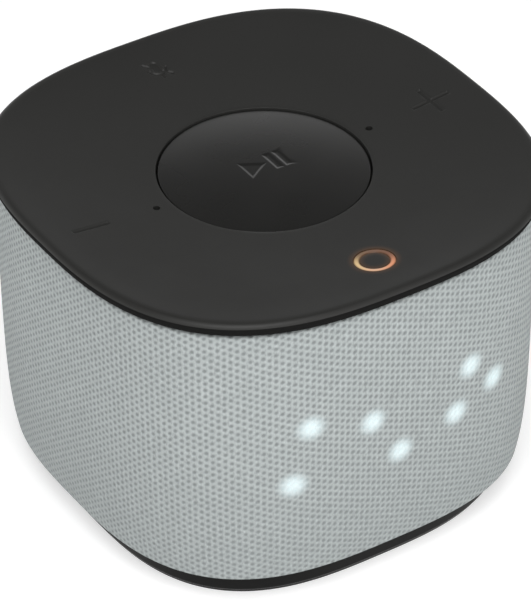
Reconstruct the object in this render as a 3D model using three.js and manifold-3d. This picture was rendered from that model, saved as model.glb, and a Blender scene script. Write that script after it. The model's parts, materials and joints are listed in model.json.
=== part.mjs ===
// Smart speaker: a rounded-square body in a knitted fabric sleeve, under a dished
// soft-touch cover with one round press button, on an inset base.
// Millimetres, +Z up. The origin is on the floor under the middle of the foot ring.
// The front, with the lamp display and the action ring, faces -Y.

import * as THREE from 'three';
import { mergeVertices } from 'three/addons/utils/BufferGeometryUtils.js';
import Module from 'manifold-3d';

const wasm = await Module();
wasm.setup();

// ---------------------------------------------------------------- driving dimensions

// Whole body
const height = 78;                // floor to the cover's rim
const halfWidth = 55;             // centre line to the cover's side, the widest place
const planPowerTop = 2.73;        // plan outline |x|^p + |y|^p = halfWidth^p at the cover
const planPowerBase = 2.93;       // the same at the base, a little squarer
const slidingGap = 0.3;           // between neighbours that are cut for each other
const threadGap = 0.1;            // round a screw's shank in its pilot hole

// Cover
const rimHeight = 3.1;            // the cover's side
const rimRadius = 1.3;            // rounding between the dish and the side
const rimUndercut = 0.7;          // the side's lower edge leans in by this
const dishDepth = 2.75;           // rim to the edge of the button's hole
const coverWall = 2.2;            // thickness at the edge of the button's hole
const skirtDepth = 3;             // the ring under the cover that snaps into the grille
const skirtWall = 1.5;
const holeRadius = 23.2;
const holeChamfer = 0.3;
const micHoleRadius = 0.8;
const micMargin = 3.8;            // hole's edge to each microphone hole
const iconInset = 11.9;           // cover's side to each icon
const actionInset = 13;           // cover's side to the action ring
const iconDepth = 0.35;
const iconLine = 1;
const stakeOffset = 26;           // the pins that hold the touch board
const stakeRadius = 1.2;
const stakeBossRadius = 2.6;
const stakeLength = 2;

// Press button
const buttonGap = 0.35;
const buttonSink = 0.35;          // the button's edge lies this far below the hole's edge
const domeRise = 1.65;
const domeEdgeRadius = 0.4;
const buttonWall = 1.6;
const buttonTravel = 0.8;
const buttonRoom = 3.85;          // cover's underside to the touch board
const flangeReach = 1.2;          // the stop flange past the hole's edge
const flangeWall = 0.8;
const plungerRadius = 2;
const markDepth = 0.3;
const padRadius = 13.5;
const padWall = 3;

// Action ring
const actionRingRadius = 3.85;    // middle of the lit line
const actionRingLine = 1.1;
const actionPadSink = 1.2;
const lampHeight = 0.6;

// Fabric and grille
const fabricInset = 1.5;          // cover's side to the fabric's top edge
const fabricTaper = 1.55;         // the side leans in by this from top to hem
const fabricTuck = 1.6;           // and curves in by this more just above the hem
const tuckPower = 8;
const fabricWall = 0.8;
const shadowGap = 0.8;            // fabric's top edge to the cover
const grilleWall = 2;
const slotWidth = 5;
const slotPitch = 10;
const slotsPerSide = 5;
const upperSlotHeight = 14;
const lowerSlotHeight = 9;

// Base
const footHeight = 1.5;
const footSeat = 0.6;             // how far the foot ring sits in its groove
const footWidth = 9.4;            // wide enough to hide the screws above it
const footInset = 0.8;
const baseHeight = 7.4;           // floor to the fabric's hem
const baseInset = 8.4;            // cover's side to the base's side
const baseFloor = 1.6;
const baseWall = 2;
const baseFlange = 1.2;
const baseEdgeRadius = 0.8;
const bossRadius = 4;
const ventGap = 3.4;              // base to chamber, where the radiator breathes

// Screws
const screwRadius = 1.4;
const screwHeadRadius = 2.6;
const screwHeadHeight = 1.5;
const screwBite = 8;              // length in the chamber's columns
const smallScrewRadius = 1.1;
const smallHeadRadius = 1.9;
const smallHeadHeight = 1.1;

// Chamber
const chamberInset = 11;          // cover's side to the chamber's side
const chamberWall = 2.2;
const lidWall = 2.4;
const columnInset = 5.4;          // chamber's corner to the screw columns' middle
const soundGap = 11.4;            // lid to frame, where the driver's sound leaves

// Driver
const driverHole = 25;            // the lid's hole
const driverRimReach = 5;         // the rim past the lid's hole
const driverRimWall = 1.6;
const gasketWall = 0.6;
const driverScrewReach = 2.7;     // the screws past the lid's hole
const basketDepth = 17;
const basketWall = 1.4;
const basketFoot = 15.5;
const coilRadius = 6.5;
const coilWall = 0.6;
const coilGap = 0.6;
const coilLength = 10;
const topPlateWall = 2.5;
const magnetWall = 6;
const magnetRadius = 16;
const yokeWall = 2.5;
const rollInset = 1.9;            // the surround's roll inside the lid's hole
const rollWidth = 3.4;
const coneDepth = 13;
const coneWall = 0.6;
const rollHeight = 2;
const rollWall = 0.5;
const dustCapRise = 2;
const driverThrow = 2.5;

// Passive radiator
const radiatorHole = 23;
const radiatorRadius = 16.2;
const radiatorWall = 2;

// Deflector and frame
const deflectorRadius = 37.5;
const deflectorDrop = 12.5;
const deflectorWall = 1.6;
const frameWall = 2;
const frameInset = 8;
const standoffHeight = 1.6;

// Boards
const mainBoard = { width: 56, depth: 46, wall: 1.6 };
const powerBoard = { width: 30, depth: 17, wall: 1 };
const boardInset = 1.4;           // base's wall to the power board, clear of the curved corner
const touchBoardWall = 1.2;
const touchBoardInset = 7;
const connectorHeight = 3;
const shieldHeight = 2;

// Lamp display
const lampPitch = 3.6;
const lampColumns = 15;
const lampRows = 5;
const displayCentre = { x: -0.1, z: 40.7 };
const lampSize = 1.8;
const lampWall = 0.6;
const baffleWall = 3;
const baffleHole = 2.6;
const ledBoardWall = 0.8;
const ledBoardGap = 0.8;          // chamber to board, bridged by adhesive foam
const litCells = [[12, 4], [14, 2], [11, 1], [5, 3], [7, 0], [1, 4], [0, 0]];   // column, row

// Power inlet
const inlet = { width: 9, height: 3.2, depth: 7.3, wall: 0.3 };
const inletTongue = { width: 6.7, height: 0.7, depth: 4.5 };

// Ribbon cables
const cableWall = 0.3;
const ledCableWidth = 12;
const speakerCableWidth = 5;
const powerCableWidth = 8;

// Facets round a full turn
const shellSegments = 40;
const innerSegments = 24;
const driverSegments = 20;
const smallSegments = 12;
const screwSegments = 8;

// ---------------------------------------------------------------- places across

const rimStart = halfWidth - rimRadius;
const micOffset = holeRadius + micMargin;
const iconOffset = halfWidth - iconInset;
const actionOffset = halfWidth - actionInset;
const baseHalfWidth = halfWidth - baseInset;
const chamberHalfWidth = halfWidth - chamberInset;
const frameHalfWidth = halfWidth - frameInset;
const touchBoardHalfWidth = halfWidth - touchBoardInset;
const driverRim = driverHole + driverRimReach;
const driverScrewRing = driverHole + driverScrewReach;
const rollOut = driverHole - rollInset;
const rollIn = rollOut - rollWidth;
const coneRadius = rollIn - slidingGap;

// ---------------------------------------------------------------- levels, floor up

const zBaseUnder = footHeight - footSeat;
const zBaseFloor = zBaseUnder + baseFloor;
const zBaseTop = baseHeight + baseFlange;
const zChamberUnder = zBaseTop + ventGap;
const zCoverEdge = height - rimHeight;
const zHoleEdge = height - dishDepth;
const zCoverUnder = zHoleEdge - coverWall;
const zTouchTop = zCoverUnder - buttonRoom;
const zTouchUnder = zTouchTop - touchBoardWall;
const zMainTop = zTouchUnder - connectorHeight;
const zMainUnder = zMainTop - mainBoard.wall;
const zFrameTop = zMainUnder - standoffHeight;
const zFrameUnder = zFrameTop - frameWall;
const zLidTop = zFrameUnder - soundGap;
const zLidUnder = zLidTop - lidWall;
const zDriver = zLidTop + gasketWall;          // underside of the driver's rim
const zFabricTop = zCoverEdge - shadowGap;
const zGrilleUnder = zBaseTop;
const zGrilleTop = zFabricTop - fabricWall - threadGap;

// ---------------------------------------------------------------- shared shapes

// How far a rounded square of half-width 1 reaches along a direction.
function squircleReach(angle, power) {
  const along = Math.abs(Math.cos(angle)) ** power;
  const across = Math.abs(Math.sin(angle)) ** power;
  return (along + across) ** (-1 / power);
}

// The front or back face of a rounded square, at a given place across it.
function squircleDepth(across, half, power) {
  return half * (1 - (Math.abs(across) / half) ** power) ** (1 / power);
}

// The plan outline turns from the cover's to the base's, going down.
function planPower(z) {
  return planPowerBase + (planPowerTop - planPowerBase) * (z / height);
}

// Half-width of the fabric's outside.
function fabricHalfWidth(z) {
  const down = (zFabricTop - z) / (zFabricTop - baseHeight);
  return halfWidth - fabricInset - fabricTaper * down - fabricTuck * down ** tuckPower;
}

// The dish is round at the button's hole and takes the plan outline at the rim.
function dishPower(radius) {
  const out = THREE.MathUtils.clamp((radius - holeRadius) / (halfWidth - holeRadius), 0, 1);
  return 2 + (planPowerTop - 2) * out;
}

const dishCurve = dishDepth / (rimStart ** 2 - holeRadius ** 2);

function dishHeight(radius) {
  return zHoleEdge + dishCurve * (radius ** 2 - holeRadius ** 2);
}

// Points on an arc, from one angle to another in degrees, both ends included.
function arc(centreX, centreY, radius, from, to, steps) {
  const points = [];
  for (let i = 0; i <= steps; i += 1) {
    const angle = THREE.MathUtils.degToRad(from + ((to - from) * i) / steps);
    points.push([centreX + radius * Math.cos(angle), centreY + radius * Math.sin(angle)]);
  }
  return points;
}

// One closed shell: shared corners merged and empty triangles dropped.
function closed(geometry) {
  const bare = geometry.clone();
  bare.deleteAttribute('normal');
  bare.deleteAttribute('uv');
  const merged = mergeVertices(bare, 1e-4);
  const kept = [];
  const index = merged.index.array;
  for (let i = 0; i < index.length; i += 3) {
    const [a, b, c] = [index[i], index[i + 1], index[i + 2]];
    if (a !== b && b !== c && c !== a) kept.push(a, b, c);
  }
  merged.setIndex(kept);
  return merged;
}

// A turned solid. The profile runs [radius, height], outside going up.
function lathe(profile, segments = smallSegments) {
  const points = profile.map(([radius, z]) => new THREE.Vector2(radius, z));
  const geometry = new THREE.LatheGeometry(points, segments);
  geometry.rotateX(Math.PI / 2);
  return closed(geometry);
}

// A ring's profile is the same with its first point repeated at the end.
function latheRing(profile, segments = smallSegments) {
  return lathe([...profile, profile[0]], segments);
}

// The same solid pulled out to a rounded square. powerAt(radius, z) sets how square.
function toSquircle(geometry, powerAt) {
  const place = geometry.attributes.position;
  for (let i = 0; i < place.count; i += 1) {
    const [x, y, z] = [place.getX(i), place.getY(i), place.getZ(i)];
    const radius = Math.hypot(x, y);
    if (radius < 1e-6) continue;
    const reach = squircleReach(Math.atan2(y, x), powerAt(radius, z));
    place.setXY(i, x * reach, y * reach);
  }
  return geometry;
}

function squircle(profile, segments = shellSegments, powerAt = (radius, z) => planPower(z)) {
  return toSquircle(lathe(profile, segments), powerAt);
}

function squircleRing(profile, segments = shellSegments, powerAt = (radius, z) => planPower(z)) {
  return toSquircle(latheRing(profile, segments), powerAt);
}

function cylinder(radius, low, high, segments = smallSegments) {
  return lathe([[0, low], [radius, low], [radius, high], [0, high]], segments);
}

function box(width, depth, tall, x = 0, y = 0, z = 0) {
  const geometry = new THREE.BoxGeometry(width, depth, tall);
  geometry.translate(x, y, z);
  return closed(geometry);
}

// A flat outline of [x, y] points, raised from low to high.
function prism(outline, low, high) {
  const shape = new THREE.Shape(outline.map(([x, y]) => new THREE.Vector2(x, y)));
  const geometry = new THREE.ExtrudeGeometry(shape, { depth: high - low, bevelEnabled: false });
  geometry.translate(0, 0, low);
  return closed(geometry);
}

// A rectangle with half-round ends, the long way along X.
function stadium(length, width, steps = 4) {
  const reach = (length - width) / 2;
  const right = arc(reach, 0, width / 2, -90, 90, steps);
  const left = arc(-reach, 0, width / 2, 90, 270, steps);
  return [...right, ...left];
}

function solid(geometry) {
  const mesh = new wasm.Mesh({
    numProp: 3,
    vertProperties: new Float32Array(geometry.attributes.position.array),
    triVerts: new Uint32Array(geometry.index.array),
  });
  return new wasm.Manifold(mesh);
}

function shell(manifold) {
  const mesh = manifold.getMesh();
  const geometry = new THREE.BufferGeometry();
  geometry.setAttribute('position', new THREE.BufferAttribute(mesh.vertProperties, 3));
  geometry.setIndex(new THREE.BufferAttribute(mesh.triVerts, 1));
  return geometry;
}

function join(first, ...others) {
  let whole = solid(first);
  for (const other of others) whole = whole.add(solid(other));
  return shell(whole);
}

function cut(first, ...tools) {
  let whole = solid(first);
  for (const tool of tools) whole = whole.subtract(solid(tool));
  return shell(whole);
}

function common(first, second) {
  return shell(solid(first).intersect(solid(second)));
}

function moved(geometry, x, y, z = 0) {
  return geometry.clone().translate(x, y, z);
}

function turned(geometry, degrees) {
  return geometry.clone().rotateZ(THREE.MathUtils.degToRad(degrees));
}

// Four copies of a tool, one in each corner.
function inCorners(geometry, offset) {
  const signs = [[1, 1], [-1, 1], [-1, -1], [1, -1]];
  return signs.map(([x, y]) => moved(geometry, x * offset, y * offset));
}

// Four copies on a ring, on the diagonals.
function onRing(geometry, radius) {
  return inCorners(geometry, radius * Math.SQRT1_2);
}

const speaker = new THREE.Group();

function add(name, geometry, look, x = 0, y = 0, z = 0) {
  const bare = geometry.clone();
  const mesh = new THREE.Mesh(bare, new THREE.MeshStandardMaterial(look));
  mesh.name = name;
  mesh.position.set(x, y, z);
  speaker.add(mesh);
  return mesh;
}

// ---------------------------------------------------------------- looks

const looks = {
  softTouch: { color: 0x343433, roughness: 0.62, metalness: 0 },
  satinButton: { color: 0x3a3a38, roughness: 0.38, metalness: 0 },
  fabric: { color: 0xb9c4c5, roughness: 0.95, metalness: 0 },
  glossBase: { color: 0x161615, roughness: 0.22, metalness: 0 },
  rubber: { color: 0x1d1d1d, roughness: 0.9, metalness: 0 },
  blackPlastic: { color: 0x242424, roughness: 0.6, metalness: 0 },
  greyPlastic: { color: 0xc8cccb, roughness: 0.6, metalness: 0 },
  steel: { color: 0xb8babd, roughness: 0.35, metalness: 1 },
  ferrite: { color: 0x2e2e30, roughness: 0.7, metalness: 0.2 },
  copper: { color: 0xb06a3c, roughness: 0.4, metalness: 1 },
  paperCone: { color: 0x2a2927, roughness: 0.9, metalness: 0 },
  clothSpider: { color: 0xc49a4a, roughness: 0.95, metalness: 0 },
  circuitBoard: { color: 0x1d4a34, roughness: 0.5, metalness: 0 },
  blackBoard: { color: 0x17191b, roughness: 0.5, metalness: 0 },
  ribbon: { color: 0xd8d4c8, roughness: 0.6, metalness: 0 },
  silicone: { color: 0xcfd3d3, roughness: 0.7, metalness: 0 },
  coolLamp: { color: 0xe9fbff, roughness: 0.3, metalness: 0, emissive: 0xcdf3ff },
  amberLamp: { color: 0xffb347, roughness: 0.3, metalness: 0, emissive: 0xff9a2e },
};

// ---------------------------------------------------------------- base

const columnOffset = (chamberHalfWidth * squircleReach(Math.PI / 4, planPowerBase)
  - columnInset) * Math.SQRT1_2;

function footRing() {
  const outer = baseHalfWidth - footInset;
  return squircleRing([
    [outer - footWidth, 0],
    [outer, 0],
    [outer, footHeight],
    [outer - footWidth, footHeight],
  ]);
}

function basePlate() {
  const grooveOut = baseHalfWidth - footInset + threadGap;
  const grooveIn = baseHalfWidth - footInset - footWidth - threadGap;
  const grooveTop = footHeight + threadGap;
  const inside = baseHalfWidth - baseWall;
  const flange = fabricHalfWidth(baseHeight) - fabricWall - 2 * slidingGap;
  const plate = squircle([
    [0, zBaseUnder],
    [grooveIn, zBaseUnder],
    [grooveIn, grooveTop],
    [grooveOut, grooveTop],
    [grooveOut, zBaseUnder],
    [baseHalfWidth - baseEdgeRadius * 0.3, zBaseUnder],
    [baseHalfWidth, zBaseUnder + baseEdgeRadius],
    [baseHalfWidth, baseHeight],
    [flange, baseHeight],
    [flange, zBaseTop],
    [inside, zBaseTop],
    [inside, zBaseFloor],
    [0, zBaseFloor],
  ]);
  const boss = cylinder(bossRadius, grooveTop + threadGap, zChamberUnder);
  const headRoom = cylinder(screwHeadRadius + slidingGap, 0, grooveTop + screwHeadHeight + threadGap);
  const shankRoom = cylinder(screwRadius + slidingGap, 0, zChamberUnder + 1);
  const socket = prism(stadium(inlet.width + 2 * slidingGap, inlet.height + 2 * slidingGap), 0,
    2 * baseWall + slidingGap);
  socket.rotateX(Math.PI / 2);
  socket.translate(0, baseHalfWidth + baseWall, zInlet);
  const bosses = inCorners(boss, columnOffset);
  const tools = [...inCorners(headRoom, columnOffset), ...inCorners(shankRoom, columnOffset)];
  return cut(join(plate, ...bosses), ...tools, socket);
}

// A pan-head screw pointing up, its head's underside at z = 0.
function screw(radius, length, headRadius, headHeight) {
  const recess = headRadius * 0.5;
  return lathe([
    [0, -headHeight + headHeight * 0.6],
    [recess * 0.8, -headHeight + headHeight * 0.6],
    [recess, -headHeight],
    [headRadius * 0.9, -headHeight],
    [headRadius, 0],
    [radius, 0],
    [radius, length - radius],
    [0, length],
  ], screwSegments);
}

const zInlet = zBaseFloor + powerBoard.wall + inlet.height / 2 + threadGap;
const powerBoardY = baseHalfWidth - baseWall - boardInset - powerBoard.depth / 2;

function powerInlet() {
  const can = prism(stadium(inlet.width, inlet.height), 0, inlet.depth);
  const mouth = prism(stadium(inlet.width - 2 * inlet.wall, inlet.height - 2 * inlet.wall),
    inlet.wall * 2, inlet.depth + 1);
  const tongue = box(inletTongue.width, inletTongue.height, inletTongue.depth, 0, 0,
    inlet.wall + inletTongue.depth / 2);
  const whole = join(cut(can, mouth), tongue);
  whole.rotateX(-Math.PI / 2);
  whole.translate(0, baseHalfWidth - inlet.depth, zInlet);
  return whole;
}

// A circuit board with its components, given as [width, depth, height, x, y].
function boardWith(size, components) {
  const sunk = 0.2;
  const plate = box(size.width, size.depth, size.wall, 0, 0, size.wall / 2);
  const chips = components.map(([width, depth, tall, x, y]) => (
    box(width, depth, tall + sunk, x, y, size.wall + (tall - sunk) / 2)
  ));
  return join(plate, ...chips);
}

function powerBoardSolid() {
  return boardWith(powerBoard, [
    [7, 7, 3, -9, -2],
    [5, 4, 1.2, 9, -4],
    [3, 3, 2, 1, -4],
  ]);
}

// ---------------------------------------------------------------- acoustic chamber

function acousticChamber() {
  const inside = chamberHalfWidth - chamberWall;
  const tub = squircleRing([
    [radiatorHole, zChamberUnder],
    [chamberHalfWidth - 1, zChamberUnder],
    [chamberHalfWidth, zChamberUnder + 1],
    [chamberHalfWidth, zLidUnder],
    [inside, zLidUnder],
    [inside, zChamberUnder + chamberWall],
    [radiatorHole, zChamberUnder + chamberWall],
  ], innerSegments, chamberPower);
  const column = cylinder(bossRadius, zChamberUnder, zLidUnder);
  const lowPilot = cylinder(screwRadius + threadGap, zChamberUnder - 1, zChamberUnder + screwBite + 2);
  const highPilot = cylinder(screwRadius + threadGap, zLidUnder - screwBite - 2, zLidUnder + 1);
  const pilots = [...inCorners(lowPilot, columnOffset), ...inCorners(highPilot, columnOffset)];
  const columns = inCorners(column, columnOffset);
  return cut(join(tub, ...columns), ...pilots);
}

// Round at the holes in the middle, and the body's outline at the chamber's wall.
function chamberPower(radius, z) {
  const out = THREE.MathUtils.clamp((radius - driverHole) / (chamberHalfWidth * 0.8 - driverHole), 0, 1);
  return 2 + (planPower(z) - 2) * out;
}

function chamberLid() {
  const lip = chamberHalfWidth - chamberWall - slidingGap;
  const plate = squircleRing([
    [driverHole, zLidUnder],
    [chamberHalfWidth, zLidUnder],
    [chamberHalfWidth, zLidTop],
    [driverHole, zLidTop],
  ], innerSegments, chamberPower);
  const tongue = squircleRing([
    [lip - chamberWall, zLidUnder - chamberWall],
    [lip, zLidUnder - chamberWall],
    [lip, zLidUnder + lidWall / 2],
    [lip - chamberWall, zLidUnder + lidWall / 2],
  ], innerSegments, chamberPower);
  const columnRoom = cylinder(bossRadius + slidingGap, zLidUnder - chamberWall - 1, zLidUnder);
  const shankRoom = cylinder(screwRadius + slidingGap, zLidUnder - 1, zLidTop + 1);
  const pilot = cylinder(smallScrewRadius + threadGap, zLidUnder - 1, zLidTop + 1, screwSegments);
  const rim = cut(tongue, ...inCorners(columnRoom, columnOffset));
  return cut(join(plate, rim), ...inCorners(shankRoom, columnOffset), ...onRing(pilot, driverScrewRing));
}

// ---------------------------------------------------------------- passive radiator

function radiatorPlate() {
  const under = zChamberUnder + threadGap;
  return lathe([
    [0, under],
    [radiatorRadius, under],
    [radiatorRadius, under + radiatorWall * 0.6],
    [radiatorRadius - 1, under + radiatorWall],
    [0, under + radiatorWall],
  ], driverSegments);
}

// A half-roll suspension between two flat rims. side is 1 for a roll up, -1 for down.
function rollSuspension(inner, rollFrom, rollTo, outer, z, side) {
  const middle = (rollFrom + rollTo) / 2;
  const half = (rollTo - rollFrom) / 2;
  const steps = 4;
  const crest = [];
  const trough = [];
  for (let i = 0; i <= steps; i += 1) {
    const angle = Math.PI * (1 - i / steps);
    const reach = half * Math.cos(angle);
    const rise = rollHeight * Math.sin(angle);
    crest.push([middle + reach, z + side * (rollWall + rise)]);
    trough.push([middle + reach * (1 - rollWall / half), z + side * rise]);
  }
  const near = [[inner, z], ...trough, [outer, z]];
  const far = [[outer, z + side * rollWall], ...crest.reverse(), [inner, z + side * rollWall]];
  const around = [...near, ...far];
  return latheRing(side > 0 ? around : around.reverse(), driverSegments);
}

// ---------------------------------------------------------------- driver

function driverFrame() {
  const rimIn = rollOut - threadGap;
  const foot = zDriver - basketDepth;
  const basket = latheRing([
    [basketFoot - 5, foot - basketWall],
    [basketFoot, foot - basketWall],
    [driverHole - 0.6, zDriver],
    [driverRim, zDriver],
    [driverRim, zDriver + driverRimWall],
    [rimIn, zDriver + driverRimWall],
    [rimIn, zDriver],
    [basketFoot - basketWall, foot],
    [basketFoot - 5, foot],
  ], driverSegments);
  const windowHeight = basketDepth * 0.55;
  const window = box(4 * driverRim, 12, windowHeight, 0, 0, zDriver - basketDepth * 0.52);
  const hole = cylinder(smallScrewRadius + slidingGap, zDriver - 1, zDriver + driverRimWall + 1,
    screwSegments);
  return cut(basket, window, turned(window, 90), ...onRing(hole, driverScrewRing));
}

function driverGasket() {
  const ring = latheRing([
    [driverHole + slidingGap, zLidTop],
    [driverRim - slidingGap, zLidTop],
    [driverRim - slidingGap, zDriver],
    [driverHole + slidingGap, zDriver],
  ], driverSegments);
  const hole = cylinder(smallScrewRadius + slidingGap, zLidTop - 1, zDriver + 1, screwSegments);
  return cut(ring, ...onRing(hole, driverScrewRing));
}

const zTopPlate = zDriver - basketDepth - basketWall;      // top of the steel plate
const zMagnet = zTopPlate - topPlateWall;                  // top of the magnet
const zYoke = zMagnet - magnetWall;                        // top of the yoke's back plate

function ringSolid(inner, outer, low, high) {
  return latheRing([[inner, low], [outer, low], [outer, high], [inner, high]], driverSegments);
}

function driverTopPlate() {
  return ringSolid(coilRadius + coilGap, basketFoot, zMagnet, zTopPlate);
}

function driverMagnet() {
  return ringSolid(coilRadius + 3, magnetRadius, zYoke, zMagnet);
}

function driverYoke() {
  const pole = coilRadius - coilWall - coilGap;
  return lathe([
    [0, zYoke - yokeWall],
    [basketFoot, zYoke - yokeWall],
    [basketFoot, zYoke],
    [pole, zYoke],
    [pole, zTopPlate],
    [0, zTopPlate],
  ], driverSegments);
}

const zConeEdge = zDriver + driverRimWall - threadGap;     // top of the cone's outer edge
const zConeNeck = zConeEdge - coneDepth;                   // top of the voice coil

function voiceCoil() {
  return ringSolid(coilRadius - coilWall, coilRadius, zConeNeck - coilLength, zConeNeck);
}

function driverCone() {
  const neck = coilRadius + threadGap;
  const middle = (neck + coneRadius) / 2;
  const zMiddle = zConeNeck + coneDepth * 0.42;
  return latheRing([
    [neck, zConeNeck - coneWall * 2],
    [middle, zMiddle - coneWall],
    [coneRadius, zConeEdge - coneWall],
    [coneRadius, zConeEdge],
    [middle, zMiddle],
    [neck, zConeNeck],
  ], driverSegments);
}

function dustCap() {
  const edge = coilRadius - 0.2;
  const low = zConeNeck + threadGap;
  return lathe([
    [0, low],
    [edge, low],
    [edge, low + coneWall],
    [edge * 0.6, low + dustCapRise * 0.75],
    [0, low + dustCapRise],
  ], driverSegments);
}

// Radius of the basket's inner wall.
function basketInside(z) {
  const up = (z - (zDriver - basketDepth)) / basketDepth;
  return basketFoot - basketWall + (rollOut - threadGap - basketFoot + basketWall) * up;
}

// A corrugated disc between the coil and the basket's wall.
function driverSpider() {
  const z = zConeNeck - 3;
  const inner = coilRadius + threadGap;
  const outer = basketInside(z) - slidingGap;
  const waves = 4;
  const top = [];
  const under = [];
  for (let i = 0; i <= waves; i += 1) {
    const radius = inner + ((outer - inner) * i) / waves;
    const wave = i % 2 ? 0.5 : 0;
    top.push([radius, z + wave + 0.3]);
    under.push([radius, z + wave]);
  }
  return latheRing([...under, ...top.reverse()], driverSegments);
}

// ---------------------------------------------------------------- deflector and frame

// A horn that turns the driver's sound outward all round.
function soundDeflector() {
  const steps = 5;
  const under = [];
  const top = [];
  for (let i = 0; i <= steps; i += 1) {
    const out = i / steps;
    const drop = deflectorDrop * (1 - out) ** 2;
    under.push([deflectorRadius * out, zFrameUnder - deflectorWall - drop]);
    top.push([deflectorRadius * out, zFrameUnder - drop]);
  }
  return lathe([...under, ...top.reverse()], driverSegments);
}

function topFrame() {
  const plate = squircle([
    [0, zFrameUnder],
    [frameHalfWidth, zFrameUnder],
    [frameHalfWidth, zFrameTop],
    [0, zFrameTop],
  ], innerSegments);
  const post = cylinder(bossRadius - 0.4, zLidTop, zFrameTop - frameWall / 2);
  const standoff = cylinder(2.5, zFrameTop - frameWall / 2, zMainUnder, screwSegments);
  const standoffX = mainBoard.width / 2 - 3;
  const standoffY = mainBoard.depth / 2 - 3;
  const standoffs = [[1, 1], [-1, 1], [-1, -1], [1, -1]].map(([x, y]) => (
    moved(standoff, x * standoffX, y * standoffY)
  ));
  const shankRoom = cylinder(screwRadius + slidingGap, zLidTop - 1, zFrameTop + 1);
  const room = 2 * slidingGap;
  const ledNotch = box(ledCableWidth + 2 * room, frameHalfWidth, 3 * frameWall, 0,
    -(ledCableRun - cableWall / 2 - room) - frameHalfWidth / 2, zFrameTop);
  const powerNotch = box(powerCableWidth + 2 * room, frameHalfWidth, 3 * frameWall, 0,
    powerCableRun - cableWall / 2 - room + frameHalfWidth / 2, zFrameTop);
  const speakerSlot = box(cableWall + 2 * room, speakerCableWidth + 2 * room, 3 * frameWall,
    speakerCableRun, 0, zFrameTop);
  const body = join(plate, ...inCorners(post, columnOffset), ...standoffs);
  return cut(body, ...inCorners(shankRoom, columnOffset), ledNotch, powerNotch, speakerSlot);
}

// ---------------------------------------------------------------- ribbon cables

const zCableTop = zMainTop + 1.4;                          // height of the runs over the board
const ledBoardIn = chamberHalfWidth + ledBoardGap;
const ledCableRun = ledBoardIn + ledBoardWall / 2;
const speakerCableRun = deflectorRadius + 4;
const powerCableRun = chamberHalfWidth + 2.2;

// A flat strip along a route of [out, z] points, its width across the route.
function ribbonCable(route, width) {
  const half = cableWall / 2;
  const left = [];
  const right = [];
  route.forEach(([x, z], i) => {
    const before = route[Math.max(i - 1, 0)];
    const after = route[Math.min(i + 1, route.length - 1)];
    const into = new THREE.Vector2(x - before[0], z - before[1]).normalize();
    const away = new THREE.Vector2(after[0] - x, after[1] - z).normalize();
    const normal = new THREE.Vector2(-into.y - away.y, into.x + away.x).normalize();
    const facing = into.lengthSq() > 0 ? into : away;
    const reach = half / Math.abs(normal.dot(new THREE.Vector2(-facing.y, facing.x)));
    left.push([x + normal.x * reach, z + normal.y * reach]);
    right.push([x - normal.x * reach, z - normal.y * reach]);
  });
  const strip = prism([...left, ...right.reverse()], -width / 2, width / 2);
  return strip.rotateX(Math.PI / 2);
}

function ledCable() {
  const board = mainBoard.depth / 2;
  const strip = ribbonCable([
    [ledCableRun, zLedBoardTop + slidingGap],
    [ledCableRun, zCableTop - 1.5],
    [ledCableRun - 1.5, zCableTop],
    [board - 3, zCableTop],
    [board - 4, zMainTop + threadGap],
  ], ledCableWidth);
  return turned(strip, -90);
}

function powerCable() {
  const board = mainBoard.depth / 2;
  const start = powerBoardY;
  const strip = ribbonCable([
    [start, zBaseFloor + powerBoard.wall + threadGap],
    [start + 0.6, zChamberUnder - ventGap / 2 - 1],
    [start + 1.6, zChamberUnder - ventGap / 2],
    [powerCableRun - 1, zChamberUnder - ventGap / 2],
    [powerCableRun, zChamberUnder - ventGap / 2 + 1],
    [powerCableRun, zCableTop - 1.5],
    [powerCableRun - 1.5, zCableTop],
    [board - 3, zCableTop],
    [board - 4, zMainTop + threadGap],
  ], powerCableWidth);
  return turned(strip, 90);
}

function speakerCable() {
  const board = mainBoard.width / 2;
  return ribbonCable([
    [driverRim + slidingGap, zDriver + driverRimWall / 2],
    [speakerCableRun - 1.5, zDriver + driverRimWall / 2],
    [speakerCableRun, zDriver + driverRimWall / 2 + 1.5],
    [speakerCableRun, zCableTop - 1.5],
    [speakerCableRun - 1.5, zCableTop],
    [board - 3, zCableTop],
    [board - 4, zMainTop + threadGap],
  ], speakerCableWidth);
}

// ---------------------------------------------------------------- boards in the top

function mainBoardSolid() {
  return boardWith(mainBoard, [
    [14, 5, connectorHeight - threadGap, -12, 12],
    [8, 8, 1.2, 16, -10],
    [5, 7, 1, 17, 4],
    [6, 4, 1.6, -20, -6],
    [3, 3, 1.4, -20, 2],
  ]);
}

// A pressed lid over the processor, open below.
function processorShield() {
  const side = 16;
  const wall = 0.4;
  const can = box(side, side, shieldHeight, 0, 0, shieldHeight / 2);
  const inside = box(side - 2 * wall, side - 2 * wall, shieldHeight, 0, 0, shieldHeight / 2 - wall);
  return cut(can, inside);
}

function touchBoard() {
  const plate = squircle([
    [0, zTouchUnder],
    [touchBoardHalfWidth, zTouchUnder],
    [touchBoardHalfWidth, zTouchTop],
    [0, zTouchTop],
  ], innerSegments);
  const stakeHole = cylinder(stakeRadius + slidingGap, zTouchUnder - 1, zTouchTop + 1, screwSegments);
  const port = cylinder(micHoleRadius, zTouchUnder - 2, zTouchTop + 1, screwSegments);
  const microphone = box(3.8, 3, 1.1, 0, 0, zTouchUnder - 0.45);
  const microphones = [moved(microphone, micOffset, 0), moved(microphone, -micOffset, 0)];
  const holes = [...inCorners(stakeHole, stakeOffset)];
  const ports = [moved(port, micOffset, 0), moved(port, -micOffset, 0)];
  return join(cut(plate, ...holes, ...ports), ...microphones);
}

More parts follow.
